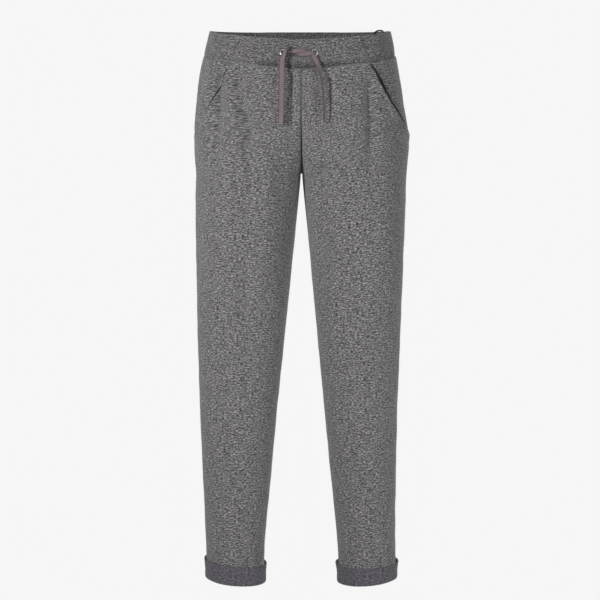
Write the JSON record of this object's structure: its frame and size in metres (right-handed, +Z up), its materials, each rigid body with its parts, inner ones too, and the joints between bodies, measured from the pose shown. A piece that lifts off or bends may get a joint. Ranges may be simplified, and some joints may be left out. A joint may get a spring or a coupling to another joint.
{
  "type": "jogger sweatpants",
  "caption": "Straight tapered sweatpants in their worn form: folded waistband with drawstring, slanted hip pockets and turned-up hems.",
  "frame": {"origin": "middle of the waist, halfway up the waistband at the side seams, where the wearer's waist holds the garment", "axes": "+Z up, +X to the wearer's left, the front faces -Y"},
  "size_m": [0.3862, 0.2438, 1.0086],
  "materials": {
    "grey_cloth": "heather grey melange jersey, matt",
    "band_cloth": "heather grey melange jersey, matt",
    "cloth_reverse": "looped reverse of the jersey, darker and matt",
    "nickel": "bright nickel plate",
    "mauve_tape": "flat woven mauve grey tape",
    "black_ribbon": "narrow black ribbon with a slight sheen"
  },
  "bodies": {
    "root": {"waistband_front": "band_cloth", "waistband_back": "band_cloth", "hanger_loop": "black_ribbon", "front_right": "grey_cloth", "front_left": "grey_cloth", "back_right": "grey_cloth", "back_left": "grey_cloth", "hip_panel_right": "grey_cloth", "hip_panel_left": "grey_cloth", "turn_up_right": "cloth_reverse", "turn_up_left": "cloth_reverse", "eyelet_right": "nickel", "eyelet_left": "nickel", "drawstring_right": "mauve_tape", "drawstring_left": "mauve_tape"}
  },
  "joints": []
}
